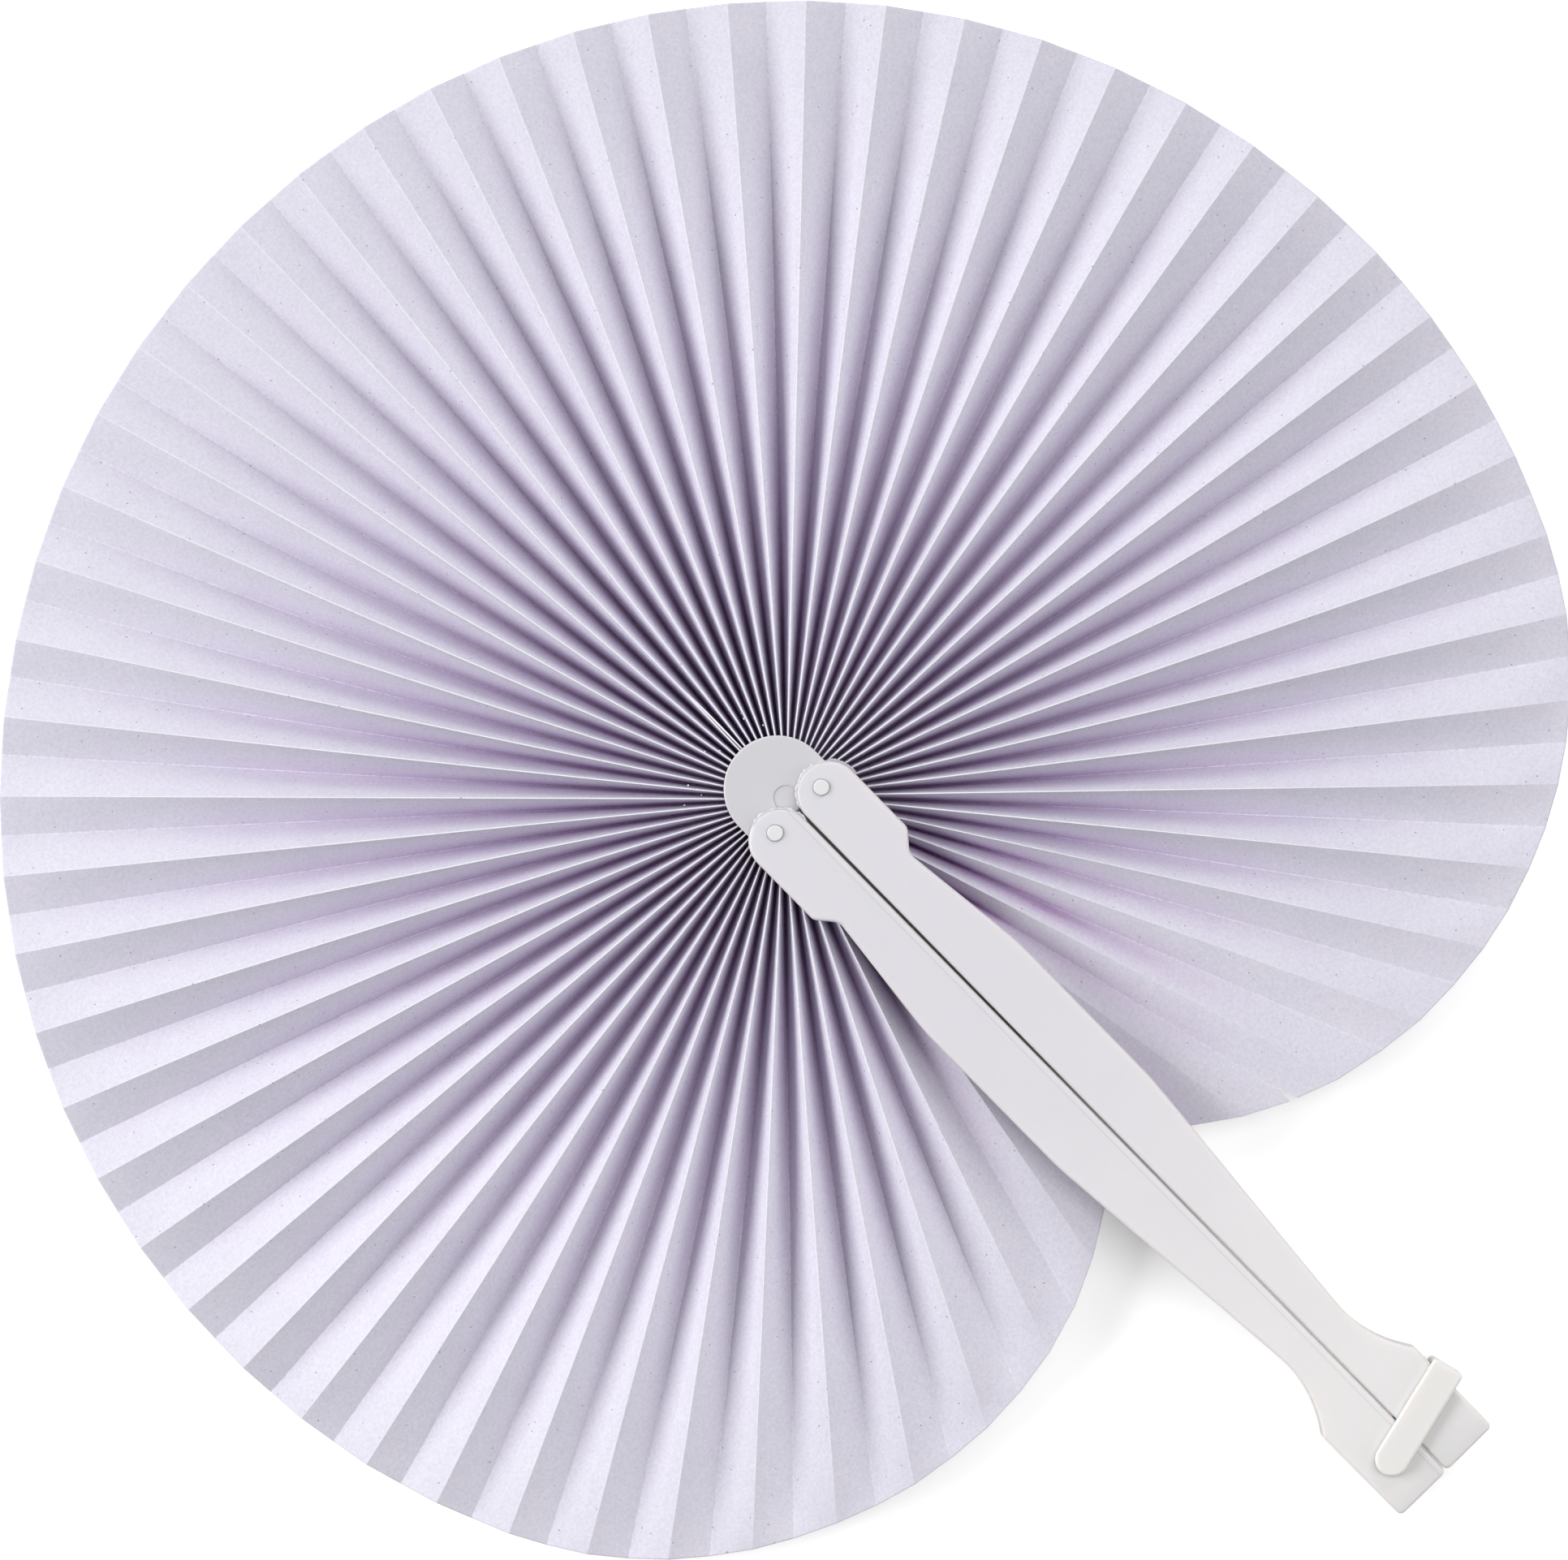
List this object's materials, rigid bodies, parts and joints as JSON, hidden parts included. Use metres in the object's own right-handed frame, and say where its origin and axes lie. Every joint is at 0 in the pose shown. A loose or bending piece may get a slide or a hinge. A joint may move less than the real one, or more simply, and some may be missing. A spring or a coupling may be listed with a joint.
{
  "type": "folding paper fan",
  "caption": "Round folding hand fan, open: a pleated paper leaf on a small plastic hub, two channel arms side by side as the handle, and a U-shaped clip holding their feet.",
  "frame": {"origin": "centre of the hub's round end, on the back face of the hub", "axes": "+Z out of the front of the fan, -Y along the handle, +X to the right arm's side"},
  "size_m": [0.2541, 0.2773, 0.0143],
  "materials": {
    "hub_plastic": "satin",
    "paper": "matte",
    "arm_plastic": "satin",
    "clip_plastic": "satin"
  },
  "bodies": {
    "fan": {"hub": "hub_plastic", "paper_leaf": "paper", "right_arm": "arm_plastic", "left_arm": "arm_plastic"},
    "clip": {"clip": "clip_plastic"}
  },
  "joints": [
    {"name": "clip_slide", "type": "slide", "parent": "fan", "child": "clip", "axis": [0.9715, 0.2368, 0], "range_m": [0, 0.0185]}
  ]
}
